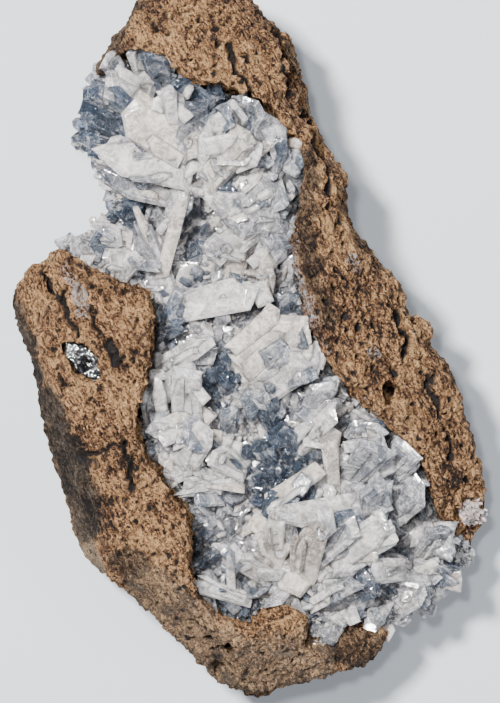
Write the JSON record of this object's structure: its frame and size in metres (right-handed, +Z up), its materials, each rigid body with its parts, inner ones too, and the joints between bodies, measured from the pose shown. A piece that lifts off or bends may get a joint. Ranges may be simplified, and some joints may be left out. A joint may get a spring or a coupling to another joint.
{
  "type": "celestite geode",
  "caption": "Broken-open rock lump with a long hollow lined by a crust of bladed pale blue and white celestite crystals, lying on its back on a small flat spot.",
  "frame": {"origin": "on the flat spot that the geode rests on, under the middle of the hollow", "axes": "+Z up out of the open side, +Y along the geode towards its narrow end, +X towards the broad sloping flank"},
  "size_m": [0.189, 0.2871, 0.0843],
  "materials": {
    "rock": "rough, porous, broken",
    "celestite": "glassy flat faces, milky inside",
    "pocket_crystals": "glassy, small",
    "rim_crystal": "sugary, pale pink-white"
  },
  "bodies": {
    "root": {"host_rock": "rock", "crystal_crust": "celestite", "side_pocket_crystals": "pocket_crystals", "rim_crystal": "rim_crystal"}
  },
  "joints": []
}
